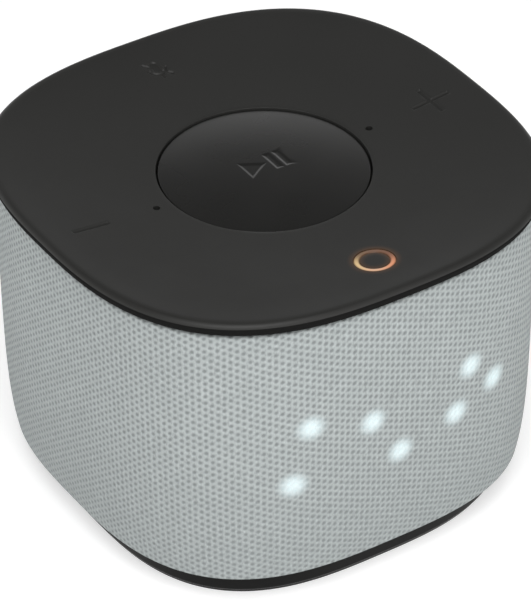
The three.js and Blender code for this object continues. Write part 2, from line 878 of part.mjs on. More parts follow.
function micGasket() {
  const outer = micHoleRadius + 1.8;
  return latheRing([
    [micHoleRadius, zTouchTop],
    [outer, zTouchTop],
    [outer, zCoverUnder],
    [micHoleRadius, zCoverUnder],
  ], smallSegments);
}

const zSwitchTop = zTouchTop + 1.8;
const zPlunger = zSwitchTop + buttonTravel + threadGap;

function buttonSwitch() {
  const side = 6;
  const bodyTop = zTouchTop + 1.2;
  const body = box(side, side, bodyTop - zTouchTop, 0, 0, (bodyTop + zTouchTop) / 2);
  return join(body, cylinder(1.6, bodyTop - 0.2, zSwitchTop));
}

// ---------------------------------------------------------------- press button

const buttonRadius = holeRadius - buttonGap;
const zButtonEdge = zHoleEdge - buttonSink;
const zButtonTop = zButtonEdge + domeRise;
const zButtonCeiling = zButtonEdge - buttonWall;

function buttonReturnPad() {
  return latheRing([
    [padRadius - padWall / 2, zTouchTop],
    [padRadius + padWall / 2, zTouchTop],
    [padRadius + padWall / 4, zButtonCeiling - threadGap],
    [padRadius - padWall / 4, zButtonCeiling - threadGap],
  ], driverSegments);
}

function centreButton() {
  const flangeTop = zCoverUnder - slidingGap;
  const flangeRadius = holeRadius + flangeReach;
  const skirtIn = buttonRadius - buttonWall;
  const domeStart = buttonRadius - domeEdgeRadius;
  const dome = [0.85, 0.65, 0.35, 0].map((share) => {
    const radius = domeStart * share;
    return [radius, zButtonEdge + domeRise * (1 - share ** 2)];
  });
  const body = lathe([
    [0, zPlunger],
    [plungerRadius, zPlunger],
    [plungerRadius, zButtonCeiling],
    [skirtIn, zButtonCeiling],
    [skirtIn, flangeTop - flangeWall],
    [flangeRadius, flangeTop - flangeWall],
    [flangeRadius, flangeTop],
    [buttonRadius, flangeTop],
    ...arc(domeStart, zButtonEdge - domeEdgeRadius, domeEdgeRadius, 0, 90, 3),
    ...dome,
  ], shellSegments);
  return cut(body, ...playPauseMark(zButtonTop - markDepth, zButtonTop + 1));
}

// A play triangle beside two pause bars.
function playPauseMark(low, high) {
  const tall = 5.6;
  const bar = 1.3;
  const triangle = prism([[-4.6, -tall / 2], [0, 0], [-4.6, tall / 2]], low, high);
  const bars = [2.2, 4.6].map((x) => box(bar, tall, high - low, x, 0, (high + low) / 2));
  return [triangle, ...bars];
}

// ---------------------------------------------------------------- action ring

// Moves a solid drawn round the origin onto the dish, its top side along the surface.
function onDish(geometry, degrees, offset = iconOffset) {
  const angle = THREE.MathUtils.degToRad(degrees);
  const across = new THREE.Vector3(-Math.sin(angle), Math.cos(angle), 0);
  const slope = Math.atan(2 * dishCurve * offset);
  const tilt = new THREE.Matrix4().makeRotationAxis(across, -slope);
  tilt.setPosition(offset * Math.cos(angle), offset * Math.sin(angle), dishHeight(offset));
  return geometry.clone().applyMatrix4(tilt);
}

const guideRadius = actionRingRadius + actionRingLine / 2;
const guideWell = actionRingRadius - actionRingLine / 2;
const guideLength = dishHeight(actionOffset) - zTouchTop - lampHeight - 2 * slidingGap;

function actionLightGuide() {
  const guide = lathe([
    [0, -guideLength],
    [guideRadius - 0.5, -guideLength],
    [guideRadius, -guideLength + 0.5],
    [guideRadius, -threadGap],
    [guideWell, -threadGap],
    [guideWell, -actionPadSink],
    [0, -actionPadSink],
  ], smallSegments * 2);
  return onDish(guide, -90, actionOffset);
}

function actionPad() {
  const pad = cylinder(guideWell - threadGap, -actionPadSink + threadGap, -threadGap, smallSegments * 2);
  return onDish(pad, -90, actionOffset);
}

// ---------------------------------------------------------------- cover

function plusTools(low, high) {
  const arm = 9.4;
  const middle = (low + high) / 2;
  return [
    box(arm, iconLine, high - low, 0, 0, middle),
    box(iconLine, arm, high - low, 0, 0, middle),
  ];
}

function minusTools(low, high) {
  return [box(8.6, iconLine, high - low, 0, 0, (low + high) / 2)];
}

// A microphone crossed out.
function muteTools(low, high) {
  const middle = (low + high) / 2;
  const line = iconLine * 0.7;
  const capsule = prism(stadium(3.6, 1.9), low, high);
  capsule.rotateZ(Math.PI / 2).translate(0, 0.9, 0);
  const cradle = prism([...arc(0, 0.3, 2.4, 180, 360, 6), ...arc(0, 0.3, 2.4 - line, 360, 180, 6)],
    low, high);
  const stem = box(line, 1.4, high - low, 0, -2.6, middle);
  const slash = box(line, 7.4, high - low, 0, 0, middle).rotateZ(THREE.MathUtils.degToRad(42));
  return [capsule, cradle, stem, slash];
}

function topCover() {
  const skirtOut = fabricHalfWidth(zCoverEdge) - fabricWall - grilleWall - 3 * slidingGap;
  const skirtIn = skirtOut - skirtWall;
  const dish = [0.3, 0.6, 0.85, 1].map((share) => {
    const radius = holeRadius + holeChamfer + (rimStart - holeRadius - holeChamfer) * share;
    return [radius, dishHeight(radius)];
  });
  const zRimCentre = dishHeight(rimStart) - rimRadius;
  const section = [
    [holeRadius, zCoverUnder],
    [skirtIn, zCoverUnder],
    [skirtIn, zCoverUnder - skirtDepth],
    [skirtOut, zCoverUnder - skirtDepth],
    [skirtOut, zCoverEdge],
    [halfWidth - rimUndercut, zCoverEdge],
    ...arc(rimStart, zRimCentre, rimRadius, 0, 66, 3),
    ...dish.reverse(),
    [holeRadius + holeChamfer, zHoleEdge],
    [holeRadius, zHoleEdge - holeChamfer],
  ];
  const plate = squircleRing(section, shellSegments, dishPower);
  const boss = cylinder(stakeBossRadius, zTouchTop, zCoverUnder + coverWall / 2);
  const pin = cylinder(stakeRadius, zTouchUnder - stakeLength / 2, zTouchTop + 1, screwSegments);
  const body = join(plate, ...inCorners(boss, stakeOffset), ...inCorners(pin, stakeOffset));

  const micHole = cylinder(micHoleRadius, zCoverUnder - 1, height, screwSegments);
  const guideHole = cylinder(guideRadius + threadGap, -guideLength - 2, 4, smallSegments * 2);
  const icons = [
    ...plusTools(-iconDepth, 2).map((tool) => onDish(tool, 0)),
    ...minusTools(-iconDepth, 2).map((tool) => onDish(tool, 180)),
    ...muteTools(-iconDepth, 2).map((tool) => onDish(tool, 90)),
  ];
  return cut(body, moved(micHole, micOffset, 0), moved(micHole, -micOffset, 0),
    onDish(guideHole, -90, actionOffset), ...icons);
}

// ---------------------------------------------------------------- fabric and grille

// Heights where the side's outline is drawn, closer together where it tucks in.
function sideLevels(low, high) {
  return [0, 0.04, 0.1, 0.2, 0.45, 1].map((share) => low + (high - low) * share);
}

function fabricSleeve() {
  const levels = sideLevels(baseHeight, zFabricTop);
  const outer = levels.map((z) => [fabricHalfWidth(z), z]);
  const inner = sideLevels(baseHeight + fabricWall, zFabricTop - fabricWall)
    .map((z) => [fabricHalfWidth(z) - fabricWall, z]);
  const hem = fabricHalfWidth(baseHeight) - fabricWall - slidingGap;
  const topHem = fabricHalfWidth(zFabricTop) - fabricWall - grilleWall - slidingGap;
  return squircleRing([
    [hem, baseHeight],
    ...outer,
    [topHem, zFabricTop],
    [topHem, zFabricTop - fabricWall],
    ...inner.reverse(),
    [hem, baseHeight + fabricWall],
  ]);
}

function grilleShell() {
  const gap = fabricWall + threadGap;
  const outer = sideLevels(zGrilleUnder, zGrilleTop).map((z) => [fabricHalfWidth(z) - gap, z]);
  const inLow = fabricHalfWidth(zGrilleUnder) - gap - grilleWall + slidingGap;
  const inHigh = fabricHalfWidth(zGrilleTop) - gap - grilleWall;
  const wall = squircleRing([
    [inLow, zGrilleUnder],
    ...outer,
    [inHigh, zGrilleTop],
  ]);
  const long = 4 * halfWidth;
  const slots = [];
  const bands = [
    [zFrameUnder - upperSlotHeight, upperSlotHeight],
    [zChamberUnder - 1, lowerSlotHeight],
  ];
  for (const [low, tall] of bands) {
    for (let i = 0; i < slotsPerSide; i += 1) {
      const across = (i - (slotsPerSide - 1) / 2) * slotPitch;
      slots.push(box(slotWidth, long, tall, across, 0, low + tall / 2));
      slots.push(box(long, slotWidth, tall, 0, across, low + tall / 2));
    }
  }
  const window = box(displayWidth + 2 * slidingGap, long, displayHeight + 2 * slidingGap,
    displayCentre.x, -long / 2, displayCentre.z);
  return cut(wall, ...slots, window);
}

// ---------------------------------------------------------------- lamp display

const displayWidth = lampPitch * (lampColumns + 1);
const displayHeight = lampPitch * (lampRows + 1);
const zLedBoardTop = displayCentre.z + displayHeight / 2;
const ledBoardOut = ledBoardIn + ledBoardWall;
const baffleIn = ledBoardOut + slidingGap;

// A curved panel that follows the body's front, between two half-widths.
function frontPanel(inner, outer) {
  const low = displayCentre.z - displayHeight / 2;
  const ring = squircleRing([[inner, low], [outer, low], [outer, zLedBoardTop], [inner, zLedBoardTop]]);
  const front = box(displayWidth, outer, displayHeight * 2, displayCentre.x, -outer * 0.9, displayCentre.z);
  return common(ring, front);
}

function lampPlace(column, row) {
  const x = displayCentre.x + (column - (lampColumns - 1) / 2) * lampPitch;
  const z = displayCentre.z + (row - (lampRows - 1) / 2) * lampPitch;
  return { x, z };
}

function ledBaffle() {
  const holes = [];
  for (let column = 0; column < lampColumns; column += 1) {
    for (let row = 0; row < lampRows; row += 1) {
      const { x, z } = lampPlace(column, row);
      holes.push(box(baffleHole, halfWidth, baffleHole, x, -halfWidth, z));
    }
  }
  return cut(frontPanel(baffleIn, baffleIn + baffleWall), ...holes);
}

// One lamp, turned to face straight out of the curved board.
function addLamp(number, column, row) {
  const { x, z } = lampPlace(column, row);
  const power = planPower(z);
  const y = -squircleDepth(x, ledBoardOut, power);
  const step = 0.01;
  const yBeside = -squircleDepth(x + step, ledBoardOut, power);
  const lamp = add(`led_lamp_${number}`, box(lampSize, lampWall, lampSize), looks.coolLamp);
  lamp.rotation.z = Math.atan2(yBeside - y, step);
  const out = lampWall / 2 + slidingGap / 2;
  lamp.position.set(x + out * Math.sin(lamp.rotation.z), y - out * Math.cos(lamp.rotation.z), z);
}

// ---------------------------------------------------------------- assembly

add('foot_ring', footRing(), looks.rubber);
add('base_plate', basePlate(), looks.glossBase);

const headSeat = footHeight + 2 * threadGap + screwHeadHeight;
const baseScrew = screw(screwRadius, zChamberUnder - headSeat + screwBite, screwHeadRadius,
  screwHeadHeight);
inCorners(baseScrew, columnOffset).forEach((geometry, i) => {
  add(`base_screw_${i + 1}`, geometry, looks.steel, 0, 0, headSeat);
});

add('power_board', powerBoardSolid(), looks.circuitBoard, 0, powerBoardY, zBaseFloor);
add('power_inlet', powerInlet(), looks.steel);

add('acoustic_chamber', acousticChamber(), looks.blackPlastic);
add('chamber_lid', chamberLid(), looks.blackPlastic);
add('radiator_plate', radiatorPlate(), looks.steel);
add('radiator_surround', rollSuspension(radiatorRadius - 2.5, radiatorRadius + 0.4,
  radiatorHole - 0.6, radiatorHole + 3, zChamberUnder, -1), looks.rubber);

add('driver_gasket', driverGasket(), looks.rubber);
add('driver_frame', driverFrame(), looks.steel);
add('driver_top_plate', driverTopPlate(), looks.steel);
add('driver_magnet', driverMagnet(), looks.ferrite);
add('driver_yoke', driverYoke(), looks.steel);
add('voice_coil', voiceCoil(), looks.copper);
add('driver_spider', driverSpider(), looks.clothSpider);
add('driver_cone', driverCone(), looks.paperCone);
add('driver_dust_cap', dustCap(), looks.paperCone);
add('driver_surround', rollSuspension(coneRadius - 1.4, rollIn, rollOut, driverHole,
  zDriver + driverRimWall, 1), looks.rubber);

const driverScrew = screw(smallScrewRadius, driverRimWall + gasketWall + lidWall - slidingGap,
  smallHeadRadius, smallHeadHeight);
driverScrew.rotateX(Math.PI);
onRing(driverScrew, driverScrewRing).forEach((geometry, i) => {
  add(`driver_screw_${i + 1}`, geometry, looks.steel, 0, 0, zDriver + driverRimWall + threadGap);
});

add('sound_deflector', soundDeflector(), looks.blackPlastic);
add('top_frame', topFrame(), looks.blackPlastic);

const frameScrew = screw(screwRadius, zFrameTop - zLidUnder + screwBite, screwHeadRadius,
  screwHeadHeight);
frameScrew.rotateX(Math.PI);
inCorners(frameScrew, columnOffset).forEach((geometry, i) => {
  add(`frame_screw_${i + 1}`, geometry, looks.steel, 0, 0, zFrameTop + threadGap);
});

add('speaker_cable', speakerCable(), looks.ribbon);
add('power_cable', powerCable(), looks.ribbon);
add('led_cable', ledCable(), looks.ribbon);

add('main_board', mainBoardSolid(), looks.circuitBoard, 0, 0, zMainUnder);
add('processor_shield', processorShield(), looks.steel, 0, -2, zMainTop);
add('wifi_antenna', box(0.6, 26, 5, -(frameHalfWidth - 2), 0, zFrameTop + 2.5), looks.blackBoard);
add('touch_board', touchBoard(), looks.blackBoard);
add('mic_gasket_left', micGasket(), looks.silicone, -micOffset, 0, 0);
add('mic_gasket_right', micGasket(), looks.silicone, micOffset, 0, 0);
add('button_switch', buttonSwitch(), looks.blackPlastic);
add('button_return_pad', buttonReturnPad(), looks.silicone);
add('centre_button', centreButton(), looks.satinButton);

add('action_lamp', box(3.2, 1.6, lampHeight, 0, 0, lampHeight / 2), looks.amberLamp,
  0, -actionOffset, zTouchTop);
add('action_light_guide', actionLightGuide(), looks.amberLamp);
add('action_pad', actionPad(), looks.softTouch);
add('top_cover', topCover(), looks.softTouch);

add('grille_shell', grilleShell(), looks.greyPlastic);
add('fabric_sleeve', fabricSleeve(), looks.fabric);

add('led_board', frontPanel(ledBoardIn, ledBoardOut), looks.blackBoard);
add('led_baffle', ledBaffle(), looks.greyPlastic);
litCells.forEach(([column, row], i) => addLamp(i + 1, column, row));

export default speaker;
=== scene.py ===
"""Smart speaker: the looks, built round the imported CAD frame. Metres, Z up, the front faces -Y."""

import json
import math

import bpy
import numpy as np
from mathutils import Matrix, Vector


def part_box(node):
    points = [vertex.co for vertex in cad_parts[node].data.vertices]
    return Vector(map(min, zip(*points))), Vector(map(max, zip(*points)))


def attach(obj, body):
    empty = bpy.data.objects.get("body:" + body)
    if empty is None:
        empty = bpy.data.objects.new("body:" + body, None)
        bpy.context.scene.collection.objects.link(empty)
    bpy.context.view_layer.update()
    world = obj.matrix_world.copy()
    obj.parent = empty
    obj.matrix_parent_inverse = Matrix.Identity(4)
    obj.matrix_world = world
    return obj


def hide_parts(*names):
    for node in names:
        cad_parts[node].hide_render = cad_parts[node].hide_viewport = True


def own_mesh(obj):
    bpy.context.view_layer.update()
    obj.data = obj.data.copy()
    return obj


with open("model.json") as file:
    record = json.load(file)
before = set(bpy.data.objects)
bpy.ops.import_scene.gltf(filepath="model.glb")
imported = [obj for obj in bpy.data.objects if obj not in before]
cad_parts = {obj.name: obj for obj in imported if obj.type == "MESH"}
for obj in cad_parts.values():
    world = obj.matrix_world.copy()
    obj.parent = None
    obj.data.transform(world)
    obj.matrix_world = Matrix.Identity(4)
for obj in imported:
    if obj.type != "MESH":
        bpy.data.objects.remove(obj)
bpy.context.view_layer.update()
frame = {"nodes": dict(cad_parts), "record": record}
nodes = frame["nodes"]

mm = 0.001

# ---------------------------------------------------------------- sizes

cover_low, cover_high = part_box("top_cover")
button_low, button_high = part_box("centre_button")
sleeve_low, sleeve_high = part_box("fabric_sleeve")
base_low, base_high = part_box("base_plate")
foot_low, foot_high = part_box("foot_ring")

# Whole body
half_width = cover_high.x
height = cover_high.z
plan_power_top = 2.73             # plan outline |x|^p + |y|^p = half_width^p at the cover
plan_power_base = 2.93            # the same at the base
sliding_gap = 0.3 * mm

# Cover
rim_radius = 1.3 * mm
rim_undercut = 0.7 * mm
dish_depth = 2.75 * mm
hole_radius = 23.2 * mm
hole_chamfer = 0.12 * mm
cover_wall = 2.2 * mm
skirt_wall = 1.5 * mm
skirt_depth = 3 * mm
skirt_lip = 0.1 * mm              # the small step where the cover's side starts
rim_end = 82                      # degrees, where the rim's rounding meets the dish
rim_start = half_width - rim_radius
z_cover_edge = height - 3.1 * mm
z_hole_edge = height - dish_depth
z_cover_under = z_hole_edge - cover_wall
# how far up the side the lip's painted shade reaches
lip_height = 2.2 * mm
mic_radius = 0.8 * mm
mic_offset = hole_radius + 3.8 * mm
icon_offset = half_width - 11.9 * mm
icon_depth = 0.35 * mm
icon_line = 1.0 * mm
stake_offset = 26 * mm            # the pins that hold the touch board
stake_radius = 1.2 * mm
stake_boss_radius = 2.6 * mm
stake_reach = 1 * mm              # how far a pin comes out under the board

# Press button
button_radius = hole_radius - 0.35 * mm
button_edge_radius = 0.4 * mm
button_wall = 1.6 * mm
button_flange = hole_radius + 1.2 * mm
button_flange_wall = 0.8 * mm
dome_rise = 1.65 * mm
z_button_edge = button_high.z - dome_rise
mark_depth = 0.22 * mm

# Action ring
ring_radius = 3.85 * mm
ring_line = 1.1 * mm
ring_gap = 0.1 * mm
# reach of the painted glow on the cover round the ring
halo_reach = 2.2 * mm
ring_offset = half_width - 13 * mm

# Fabric
fabric_top = sleeve_high.x
fabric_taper = 1.55 * mm
fabric_tuck = 1.6 * mm
tuck_power = 8
fabric_wall = 0.8 * mm
grille_wall = 2 * mm
stitch_columns = 264              # round the body, a multiple of the rows in one repeat
stitch_row = 1.67 * mm
rows_per_repeat = 3               # each column starts a third of a row lower than the last
glow_core = 0.5 * mm
glow_reach = 4.2 * mm

# Soft pieces that joints move
pad_inner = 12 * mm
split_gap = 0.1 * mm              # between the two halves of a suspension
rubber_rise = 2 * mm              # the roll in each rubber surround
rubber_wall = 0.5 * mm
surround_lap = 1.4 * mm           # how far the driver's surround reaches in over the cone
surround_gap = 0.3 * mm           # cone's edge to the roll
surround_roll = 3.4 * mm
radiator_lap = 2.5 * mm
radiator_gap = 0.4 * mm
radiator_roll = 5.8 * mm
spider_waves = 6
spider_rise = 0.5 * mm
spider_wall = 0.3 * mm
spider_gap = 0.1 * mm             # coil to the spider's inner edge
spider_flat = 0.7 * mm            # flat band inside the waves
spider_rim = 0.8 * mm             # flat band outside them

# Base
base_half_width = half_width - 8.4 * mm
base_edge_radius = 0.8 * mm
base_wall = 2 * mm
base_floor = 1.6 * mm
base_flare = 0.3 * mm             # the base widens by this just under the fabric
foot_width = 9.4 * mm
foot_gap = 0.1 * mm               # round the foot ring in its groove


def squircle_reach(angle, power):
    """How far a rounded square of half-width 1 reaches along a direction."""
    return (np.abs(np.cos(angle)) ** power + np.abs(np.sin(angle)) ** power) ** (-1 / power)


def squircle_radius(x, y):
    """The half-width of the cover outline that a place lies on."""
    return (abs(x) ** plan_power_top + abs(y) ** plan_power_top) ** (1 / plan_power_top)


def plan_power(z):
    return plan_power_base + (plan_power_top - plan_power_base) * z / height


def fabric_half_width(z):
    down = (sleeve_high.z - z) / (sleeve_high.z - sleeve_low.z)
    return fabric_top - fabric_taper * down - fabric_tuck * down**tuck_power


def dish_power(radius):
    """The dish is round at the button's hole and takes the plan outline at the rim."""
    out = np.clip((radius - hole_radius) / (half_width - hole_radius), 0, 1)
    return 2 + (plan_power_top - 2) * out


def dish_height(radius):
    return z_hole_edge + dish_curve * (radius**2 - hole_radius**2)


dish_curve = dish_depth / (rim_start**2 - hole_radius**2)

# ---------------------------------------------------------------- meshes


def even_angles(count):
    return np.arange(count) * 2 * math.pi / count


def arc(centre, radius, start, end, steps):
    """Section points on an arc, angles in degrees, both ends included."""
    angles = np.radians(np.linspace(start, end, steps + 1))
    return [(centre[0] + radius * math.cos(a), centre[1] + radius * math.sin(a)) for a in angles]


def rounded(section, radius, steps=4):
    """The closed section with each corner turned into a small arc."""
    points = [Vector(p) for p in section]
    made = []
    for i, corner in enumerate(points):
        before = points[i - 1] - corner
        after = points[(i + 1) % len(points)] - corner
        reach = min(radius, before.length / 2, after.length / 2)
        start = corner + before.normalized() * reach
        end = corner + after.normalized() * reach
        for j in range(steps + 1):
            t = j / steps
            made.append(tuple((1 - t) ** 2 * start + 2 * t * (1 - t) * corner + t**2 * end))
    return made


def turned(section, angles, power):
    """Rows of points: each section point's ring round the Z axis, pulled out to a rounded square."""
    section = np.array(section)
    radius, z = section[:, :1], section[:, 1:]
    reach = radius * squircle_reach(angles[None, :], power(radius, z))
    return np.stack([reach * np.cos(angles), reach * np.sin(angles), z + 0 * reach], axis=-1)


def round_plan(radius, z):
    return 2 + 0 * radius


def body_plan(radius, z):
    return plan_power(z)


def dish_plan(radius, z):
    return dish_power(radius)


def new_object(name, places, faces):
    mesh = bpy.data.meshes.new(name)
    mesh.from_pydata(places.reshape(-1, 3).tolist(), [], faces)
    mesh.validate()
    made = bpy.data.objects.new(name, mesh)
    bpy.context.scene.collection.objects.link(made)
    return made


def loft(name, places, closed_section=True, sharp=72):
    """A skin over rows of rings. An open section is capped by a fan at each end."""
    rows, count = places.shape[:2]
    index = np.arange(rows * count).reshape(rows, count)
    above = np.roll(index, -1, axis=0)
    if not closed_section:
        index, above = index[:-1], above[:-1]
    quads = np.stack([index, np.roll(index, -1, 1), np.roll(above, -1, 1), above], axis=-1)
    faces = quads.reshape(-1, 4).tolist()
    if not closed_section:
        faces.append(list(range(count))[::-1])
        faces.append(list(range((rows - 1) * count, rows * count)))
    made = new_object(name, places, faces)
    smooth(made, sharp)
    return made


def smooth(made, sharp):
    made.data.shade_smooth()
    made.data.set_sharp_from_angle(angle=math.radians(sharp))


def cut(made, *tools, sharp=72):
    """Cuts the tools out of a solid and keeps the result as its mesh."""
    for tool in tools:
        modifier = made.modifiers.new("cut", "BOOLEAN")
        modifier.operation = "DIFFERENCE"
        modifier.solver = "EXACT"
        modifier.object = tool
    bpy.context.view_layer.update()
    depsgraph = bpy.context.evaluated_depsgraph_get()
    result = bpy.data.meshes.new_from_object(made.evaluated_get(depsgraph))
    made.modifiers.clear()
    made.data = result
    smooth(made, sharp)
    for tool in tools:
        bpy.data.objects.remove(tool)


def rod(name, radius, low, high, count=48, x=0, y=0):
    """A plain round tool or pin along Z."""
    places = turned([(radius, low), (radius, high)], even_angles(count), round_plan)
    places[..., 0] += x
    places[..., 1] += y
    return loft(name, places, closed_section=False)


def on_dish(made):
    """Moves a piece drawn round the origin to the action ring's place on the dish."""
    slope = math.atan(2 * dish_curve * ring_offset)
    place = Matrix.Translation((0, -ring_offset, dish_height(ring_offset)))
    made.data.transform(place @ Matrix.Rotation(-slope, 4, "X"))
    made.data.update()


def finished(made, material, body, slot, *replaced):
    made.data.materials.clear()
    made.data.materials.append(material)
    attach(made, body)
    if replaced:
        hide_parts(*replaced)
    return made


# ---------------------------------------------------------------- flat figures


def box_distance(x, y, width, tall):
    """Distance to a rectangle's outline, below zero inside it."""
    across = np.abs(x) - width / 2
    up = np.abs(y) - tall / 2
    outside = np.hypot(np.maximum(across, 0), np.maximum(up, 0))
    return outside + np.minimum(np.maximum(across, up), 0)


def capsule_distance(x, y, length, width):
    return np.hypot(x, np.maximum(np.abs(y) - (length - width) / 2, 0)) - width / 2


def plus_distance(x, y):
    arm = 9.4 * mm
    return np.minimum(box_distance(x, y, arm, icon_line), box_distance(x, y, icon_line, arm))


def minus_distance(x, y):
    return box_distance(x, y, 8.6 * mm, icon_line)


def mute_distance(x, y):
    """A microphone crossed out."""
    line = icon_line * 0.7
    capsule = capsule_distance(x, y - 0.9 * mm, 3.6 * mm, 1.9 * mm)
    cradle = np.abs(np.hypot(x, y - 0.3 * mm) - 2.05 * mm) - line / 2
    cradle = np.maximum(cradle, y - 0.3 * mm)
    stem = box_distance(x, y + 2.6 * mm, line, 1.4 * mm)
    lean = math.radians(42)
    along = x * math.cos(lean) + y * math.sin(lean)
    up = -x * math.sin(lean) + y * math.cos(lean)
    slash = box_distance(along, up, line, 7.4 * mm)
    return np.minimum.reduce([capsule, cradle, stem, slash])


def play_pause_distance(x, y):
    """A play triangle beside two pause bars."""
    tall = 5.6 * mm
    wide = 4.6 * mm
    slope = math.hypot(wide, tall / 2)
    sides = (np.abs(y) * wide + x * tall / 2) / slope
    triangle = np.maximum(sides, -x - wide)
    bars = [box_distance(x - place, y, 1.3 * mm, tall) for place in (2.2 * mm, 4.6 * mm)]
    return np.minimum.reduce([triangle, *bars])


def pressed(distance, depth, edge=0.2 * mm):
    """Depth of a pressed-in figure: full inside, none outside, and a soft wall between."""
    inside = np.clip(0.5 - distance / edge / 2, 0, 1)
    return depth * inside * inside * (3 - 2 * inside)


# ---------------------------------------------------------------- materials


class Finish:
    """One procedural material, built node by node on its Principled shader."""

    def __init__(self, name, roughness, **uniform):
        self.material = bpy.data.materials.new(name)
        self.material.use_nodes = True
        self.tree = self.material.node_tree
        self.shader = self.tree.nodes["Principled BSDF"]
        self.set("Roughness", roughness)
        for socket, value in uniform.items():
            self.set(socket.replace("_", " "), value)

    def set(self, socket, value):
        self.put(self.shader.inputs[socket], value)

    def put(self, socket, value):
        """A link where value is another node's output, otherwise the socket's own value."""
        if isinstance(value, bpy.types.NodeSocket):
            self.tree.links.new(value, socket)
        elif socket.type == "RGBA":
            socket.default_value = (*value[:3], 1)
        else:
            socket.default_value = value

    def node(self, kind, *values, **settings):
        made = self.tree.nodes.new("ShaderNode" + kind)
        for name, value in settings.items():
            setattr(made, name, value)
        for socket, value in zip(made.inputs, values):
            self.put(socket, value)
        return made

    def maths(self, operation, *values):
        return self.node("Math", *values, operation=operation).outputs[0]

    def vector(self, operation, *values):
        made = self.node("VectorMath", *values, operation=operation)
        scalar = operation in ("DISTANCE", "DOT_PRODUCT", "LENGTH")
        return made.outputs["Value" if scalar else "Vector"]

    def places(self, stretch=(1, 1, 1)):
        place = self.node("TexCoord").outputs["Object"]
        return self.vector("MULTIPLY", place, stretch)

    def noise(self, scale, detail=3, stretch=(1, 1, 1)):
        made = self.node("TexNoise")
        self.put(made.inputs["Vector"], self.places(stretch))
        self.put(made.inputs["Scale"], scale)
        self.put(made.inputs["Detail"], detail)
        return made.outputs["Fac"]

    def between(self, factor, low, high, start=0.0, end=1.0):
        """A number that runs smoothly from low to high as factor runs from start to end."""
        made = self.node("MapRange", interpolation_type="SMOOTHSTEP")
        for socket, value in zip(made.inputs, (factor, start, end, low, high)):
            self.put(socket, value)
        return made.outputs["Result"]

    def colours(self, factor, first, second):
        made = self.node("Mix", data_type="RGBA")
        self.put(made.inputs["Factor"], factor)
        colours = [socket for socket in made.inputs if socket.type == "RGBA"]
        self.put(colours[0], first)
        self.put(colours[1], second)
        return next(socket for socket in made.outputs if socket.type == "RGBA")

    def bump(self, height_source, distance, strength=1.0):
        made = self.node("Bump")
        self.put(made.inputs["Strength"], strength)
        self.put(made.inputs["Distance"], distance)
        self.put(made.inputs["Height"], height_source)
        self.set("Normal", made.outputs["Normal"])


def moulded(name, colour, roughness, grain=2600, depth=0.012 * mm, spread=0.08, **uniform):
    """Moulded plastic or rubber: fine grain, with slow changes of tone and gloss."""
    finish = Finish(name, roughness, **uniform)
    slow = finish.noise(60, 4)
    fine = finish.noise(grain, 4)
    lighter = tuple(channel * 1.18 for channel in colour)
    finish.set("Base Color", finish.colours(slow, colour, lighter))
    finish.set("Roughness", finish.between(slow, roughness - spread / 2, roughness + spread / 2, 0.3, 0.7))
    finish.bump(fine, depth)
    return finish.material


def ring_place(finish):
    """Places measured from the middle of the action ring, and how far out they are."""
    place = finish.vector("SUBTRACT", finish.places(), (0, -ring_offset, dish_height(ring_offset)))
    return place, finish.vector("LENGTH", place)


def soft_touch():
    """Rubbery paint: a fine velvet grain, smoother where hands rub the rim, with a painted orange glow
    beside the action ring.
    """
    finish = Finish("soft_touch", 0.5, Specular_IOR_Level=0.3)
    slow = finish.noise(45, 5)
    fine = finish.noise(3200, 5)
    finish.set("Base Color", finish.colours(slow, (0.0185, 0.0184, 0.0172), (0.0225, 0.0224, 0.021)))
    gloss = finish.between(slow, 0.46, 0.54, 0.35, 0.65)
    up = finish.node("SeparateXYZ", finish.places()).outputs["Z"]
    rubbed = finish.between(up, 0.0, 0.06, height - 0.9 * mm, height - 0.15 * mm)
    gloss = finish.maths("SUBTRACT", gloss, rubbed)
    finish.set("Roughness", finish.maths("MULTIPLY_ADD", fine, 0.05, gloss))
    finish.bump(fine, 0.014 * mm, 0.7)
    # Painted glow: a faint orange emission on the cover in a band round the action ring, for the ring's
    # light falling on it.
    away = ring_place(finish)[1]
    beside = finish.maths("ABSOLUTE", finish.maths("SUBTRACT", away, ring_radius))
    halo = finish.between(beside, 1.0, 0.0, 0.3 * mm, halo_reach)
    finish.set("Emission Color", (1.0, 0.42, 0.12))
    finish.set("Emission Strength", finish.maths("MULTIPLY", halo, 0.045))
    return finish.material


def satin_button():
    """Smoother than the cover, with a fine even grain and the odd faint smear from fingers."""
    finish = Finish("satin_button", 0.3, Specular_IOR_Level=0.5)
    smear = finish.noise(70, 2)
    fine = finish.noise(4200, 3)
    finish.set("Base Color", finish.colours(smear, (0.0094, 0.0093, 0.0086), (0.0112, 0.0111, 0.0103)))
    finish.set("Roughness", finish.between(smear, 0.26, 0.31, 0.3, 0.7))
    finish.bump(fine, 0.006 * mm, 0.6)
    return finish.material


def gloss_base():
    finish = Finish("gloss_base", 0.12, Specular_IOR_Level=0.1)
    slow = finish.noise(70, 4)
    finish.set("Base Color", finish.colours(slow, (0.006, 0.006, 0.0058), (0.008, 0.008, 0.0076)))
    finish.set("Roughness", finish.between(finish.noise(700, 5), 0.1, 0.2, 0.3, 0.8))
    finish.bump(slow, 0.02 * mm, 0.3)
    return finish.material


def matt_lip_painted_shade():
    """Painted shade: the lip under the cover's rim is darker than the cover and nearly without reflection,
    in place of the shade under the rim.
    """
    return moulded("matt_lip_painted_shade", (0.0085, 0.0085, 0.0082), 0.9, Specular_IOR_Level=0.04)


